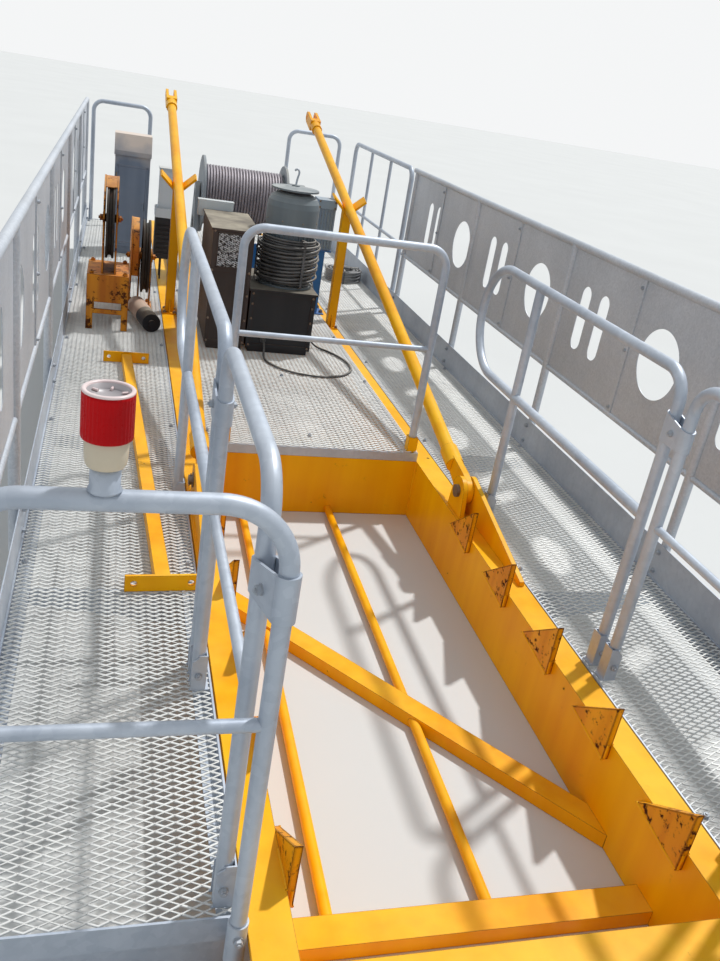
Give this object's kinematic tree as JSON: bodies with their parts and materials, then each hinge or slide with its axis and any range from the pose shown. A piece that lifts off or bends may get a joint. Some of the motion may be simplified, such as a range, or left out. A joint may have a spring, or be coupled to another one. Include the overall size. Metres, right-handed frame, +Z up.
{
  "type": "tower crane counter jib",
  "caption": "Twin-girder counter jib of a tower crane with ballast pit, railed grating walkways, winch platform and two stowed tie bars.",
  "frame": {"origin": "centre of the bounding box in plan, on the undersides of the girders", "axes": "+X to the right walkway, +Y forward to the pivot eyes, +Z up"},
  "size_m": [2.5526, 8.8, 1.65],
  "materials": {
    "machine_light": "pale blue machine paint, dusty",
    "box_white": "white sheet steel box, dusty",
    "yellow_paint": "semi-gloss crane yellow with rust chips",
    "galvanised": "hot-dip galvanised tube and angle, dull",
    "grating": "galvanised expanded metal, weathered",
    "sign_sheet": "bare aluminium sheet with plain cut-outs",
    "pin_steel": "bare steel with light rust",
    "stand_black": "satin black paint, dusty",
    "cabinet_brown": "dark brown-black paint, worn",
    "motor_grey": "grey-green machine paint",
    "machine_blue": "blue machine paint",
    "rope_steel": "greasy steel rope in tight turns",
    "machine_grey": "grey machine paint",
    "cabinet_grey": "grey sheet steel with a sun-bleached top",
    "rusty_yellow": "old yellow paint with heavy rust",
    "sheave_iron": "dark greasy cast iron",
    "lens_red": "red moulded lens",
    "collar_cream": "cream plastic collar",
    "cable_black": "black rubber cable",
    "cable_grey": "grey plastic cable, dusty"
  },
  "bodies": {
    "jib": {"left_girder": "yellow_paint", "right_girder": "yellow_paint", "pit_cross_beam": "yellow_paint", "rear_end_beam": "yellow_paint", "rear_cross_tube": "yellow_paint", "platform_cross_beams": "yellow_paint", "pit_diagonal_brace": "yellow_paint", "pit_tie_pipes": "yellow_paint", "ballast_stops": "yellow_paint", "tie_lugs": "yellow_paint", "tie_pins": "pin_steel", "saddle_posts": "yellow_paint", "left_walkway_frame": "galvanised", "right_walkway_frame": "galvanised", "left_walkway_mesh": "grating", "right_walkway_mesh": "grating", "platform_frame": "galvanised", "platform_mesh": "grating", "left_sign_rail": "sign_sheet", "right_sign_rail": "sign_sheet", "front_rails": "galvanised", "left_rear_rail": "galvanised", "right_rear_rail": "galvanised", "left_pit_rail": "galvanised", "right_pit_rail": "galvanised", "platform_rail": "galvanised", "beacon_base": "collar_cream", "beacon_lens": "lens_red", "stowed_strut": "yellow_paint", "motor_stand": "stand_black", "control_cabinet": "cabinet_brown", "hoist_motor": "motor_grey", "winch_bracket": "machine_blue", "drum_stand": "machine_grey", "winch_gearbox": "machine_grey", "electrical_cabinet": "cabinet_grey", "tall_sheave_stand": "rusty_yellow", "guard_sheave_stand": "rusty_yellow", "terminal_box": "machine_light", "resistor_stand": "stand_black", "junction_boxes": "box_white", "stowed_cylinder": "stand_black", "motor_cable_coil": "cable_black", "loose_cable": "cable_black", "walkway_cable_coil": "cable_grey"},
    "left_tie_bar": {"left_tie_bar": "yellow_paint"},
    "right_tie_bar": {"right_tie_bar": "yellow_paint"},
    "hoist_drum": {"hoist_drum": "rope_steel"},
    "tall_sheave": {"tall_sheave": "sheave_iron"},
    "guard_sheave": {"guard_sheave": "sheave_iron"}
  },
  "joints": [
    {"name": "left_tie_bar_hinge", "type": "hinge", "parent": "jib", "child": "left_tie_bar", "pos_m": [-0.575, -2.2, 0.402], "axis": [1, 0, 0], "range_deg": [0, 60]},
    {"name": "right_tie_bar_hinge", "type": "hinge", "parent": "jib", "child": "right_tie_bar", "pos_m": [0.575, -2.2, 0.402], "axis": [1, 0, 0], "range_deg": [0, 60]},
    {"name": "hoist_drum_spin", "type": "hinge", "parent": "jib", "child": "hoist_drum", "pos_m": [0.005, 1.885, 0.95], "axis": [1, 0, 0], "continuous": true},
    {"name": "tall_sheave_spin", "type": "hinge", "parent": "jib", "child": "tall_sheave", "pos_m": [-0.985, 0.325, 0.9503], "axis": [1, 0, 0], "continuous": true},
    {"name": "guard_sheave_spin", "type": "hinge", "parent": "jib", "child": "guard_sheave", "pos_m": [-0.751, 0.75, 0.6503], "axis": [1, 0, 0], "continuous": true}
  ]
}
